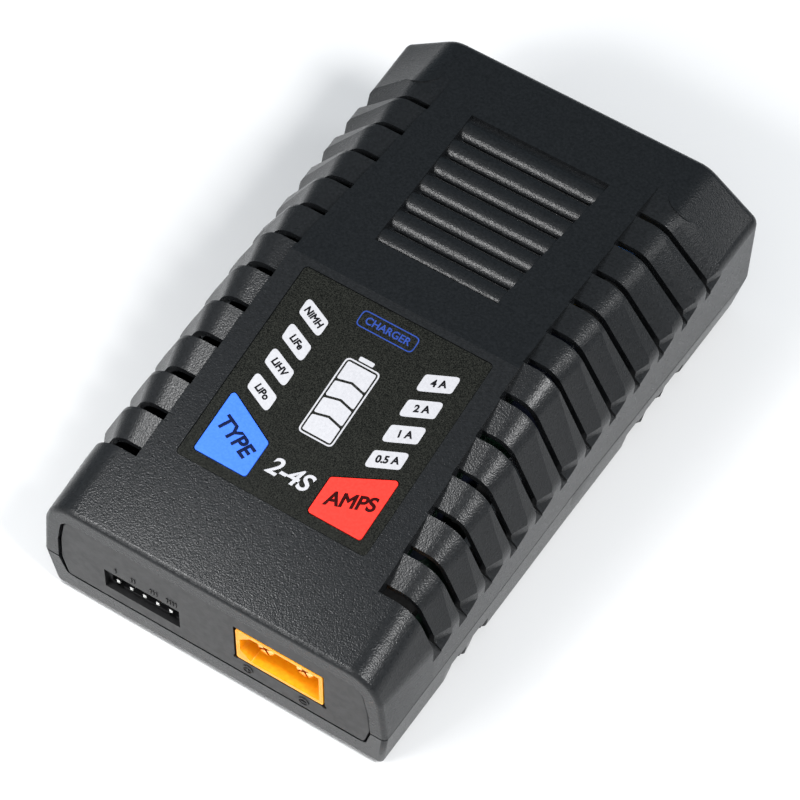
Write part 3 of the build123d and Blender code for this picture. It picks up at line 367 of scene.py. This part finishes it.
# four windows a side, each with its mark
WINDOW_TURN = math.radians(23.5)
WINDOW_PITCH = 4.8
LEFT_WINDOW = [(-14.05, -5.2), (-8.85, -7.4), (-8.85, -10.45), (-14.0, -8.25)]
RIGHT_WINDOW = [(9.1, -7.4), (14.3, -5.15), (14.35, -8.25), (9.1, -10.55)]
MARK_BOLD = 0.045
MARKS = (("NiMH", "4 A"), ("LiFe", "2 A"), ("LiHV", "1 A"), ("LiPo", "0.5 A"))
for row, (kind, current) in enumerate(MARKS, 1):
    drop = WINDOW_PITCH * (row - 1)
    left = [(x, y - drop) for x, y in LEFT_WINDOW]
    right = [(x, y - drop) for x, y in RIGHT_WINDOW]
    printed(f"type_window_{row}", rounded(left, 0.75), [], WHITE_INK)
    printed(f"current_window_{row}", rounded(right, 0.65), [], WHITE_INK)
    lettering(f"type_mark_{row}", kind, -11.43, -7.85 - drop, 1.65, -WINDOW_TURN, DARK_INK, MARK_BOLD)
    lettering(f"current_mark_{row}", current, 11.7, -7.87 - drop, 1.7, WINDOW_TURN, DARK_INK, MARK_BOLD,
              lean=0.2)

frame_shape("title_frame", 5.25, -2.75, -5.65, 0.9, 0.19, BLUE_INK)
lettering("title_mark", "CHARGER", 0, -4.22, 1.8, 0, BLUE_INK, bold=0.022)
frame_shape("gauge_frame", 3.15, -10.75, -24.85, 0.9, 0.26, WHITE_INK)
printed("gauge_cap", rounded(box_points(1.35, -9.75, -10.5), 0.25), [], WHITE_INK)

# four bars, parted by lines that rise to the middle
BAR_HALF_W = 2.6
BAR_RISE = 0.62
BAR_GAP = 0.42
BAR_EDGES = (-11.32, -14.55, -17.75, -20.95, -24.28)
LAST_BAR = 3


def bar_edge(y, parted, inward):
    """Points of a bar's edge from left to right: straight, or raised and set in at a parting line."""
    if not parted:
        return [(-BAR_HALF_W, y), (BAR_HALF_W, y)]
    y += inward * BAR_GAP / 2
    return [(-BAR_HALF_W, y - BAR_RISE / 2), (0, y + BAR_RISE / 2), (BAR_HALF_W, y - BAR_RISE / 2)]


for bar in range(LAST_BAR + 1):
    upper = bar_edge(BAR_EDGES[bar], bar > 0, -1)
    lower = bar_edge(BAR_EDGES[bar + 1], bar < LAST_BAR, 1)
    printed(f"gauge_bar_{bar + 1}", rounded(upper + lower[::-1], 0.3), [], WHITE_INK)

lettering("range_mark", "2-4S", -0.15, -31.6, 4.2, 0, WHITE_INK, bold=0.022, lean=0.25)
lettering("mode_key_mark", "TYPE", -10.9, -30.5, 3.5, -math.radians(24), KEY_BLUE_INK,
          bold=0.035, lean=0.1, w=KEY_INK_W, body="mode_button")
lettering("current_key_mark", "AMPS", 10.6, -30.8, 3.3, math.radians(20), KEY_RED_INK,
          bold=0.035, lean=0.25, w=KEY_INK_W, body="current_button")


# ---------------------------------------------------------------- stage

def area_light(name, place, aim, size, power):
    """White softbox at a place, turned to its aim."""
    light = bpy.data.lights.new(name, "AREA")
    light.shape = "RECTANGLE"
    light.size = size[0]
    light.size_y = size[1]
    light.energy = power
    thing = bpy.data.objects.new(name, light)
    thing.location = place
    thing.rotation_euler = (Vector(aim) - Vector(place)).to_track_quat("-Z", "Y").to_euler()
    bpy.context.scene.collection.objects.link(thing)


SPAN = 4.0
corners = [(-SPAN, -SPAN, 0), (SPAN, -SPAN, 0), (SPAN, SPAN, 0), (-SPAN, SPAN, 0)]
floor_mesh = bpy.data.meshes.new("floor")
floor_mesh.from_pydata(corners, [], [(0, 1, 2, 3)])
floor = bpy.data.objects.new("floor", floor_mesh)
bpy.context.scene.collection.objects.link(floor)
floor_look = Nodes("floor_look")
pale = floor_look.blend(floor_look.noise(3, 2), (0.82, 0.82, 0.82), (0.84, 0.84, 0.84))
floor_look.link(pale, floor_look.shader.inputs["Base Color"])
floor_look.shader.inputs["Roughness"].default_value = 0.9
floor_look.shader.inputs["Specular IOR Level"].default_value = 0.1
floor_mesh.materials.append(floor_look.material)

# studio walls: dim behind the charger, brighter in front of it
world = bpy.data.worlds.new("studio")
world.use_nodes = True
room = world.node_tree
direction = room.nodes.new("ShaderNodeTexCoord").outputs["Generated"]
parts = room.nodes.new("ShaderNodeSeparateXYZ")
room.links.new(direction, parts.inputs["Vector"])
depth = room.nodes.new("ShaderNodeMapRange")
depth.inputs["From Min"].default_value = -0.7
depth.inputs["From Max"].default_value = 0.6
room.links.new(parts.outputs["Y"], depth.inputs["Value"])
walls = room.nodes.new("ShaderNodeValToRGB")
walls.color_ramp.elements[0].color = (0.95, 0.97, 1.0, 1)
walls.color_ramp.elements[1].color = (0.18, 0.24, 0.29, 1)
room.links.new(depth.outputs["Result"], walls.inputs["Fac"])
room.links.new(walls.outputs["Color"], room.nodes["Background"].inputs["Color"])
room.nodes["Background"].inputs["Strength"].default_value = 0.72
bpy.context.scene.world = world

CENTRE = (0, 0, 0.02)
LOW_SLOPE = (-0.01, -0.045, 0.026)
area_light("front_box", (-0.25, -0.58, 0.49), CENTRE, (0.26, 0.20), 1.9)
area_light("right_box", (0.486, -0.122, 0.617), CENTRE, (0.20, 0.20), 5.0)
area_light("rear_right_box", (0.44, 0.28, 0.34), CENTRE, (0.22, 0.22), 0.6)
area_light("top_box", (-0.048, -0.080, 0.14), LOW_SLOPE, (0.03, 0.03), 0.125)

CAMERA_SPOT = Vector((0.1958165, -0.2973174, 0.5225093))
CAMERA_AHEAD = Vector((-0.3149194, 0.4768701, -0.8206221))
CAMERA_RIGHT = Vector((0.8356340, 0.5492846, -0.0014866))

camera_data = bpy.data.cameras.new("camera")
camera_data.lens = 174.566
camera_data.sensor_width = 36.0
camera_data.clip_start = 0.01
camera = bpy.data.objects.new("camera", camera_data)
camera.matrix_world = axes(CAMERA_RIGHT, CAMERA_RIGHT.cross(CAMERA_AHEAD), -CAMERA_AHEAD, CAMERA_SPOT)
bpy.context.scene.collection.objects.link(camera)
bpy.context.scene.camera = camera
bpy.context.scene.view_settings.view_transform = "Standard"
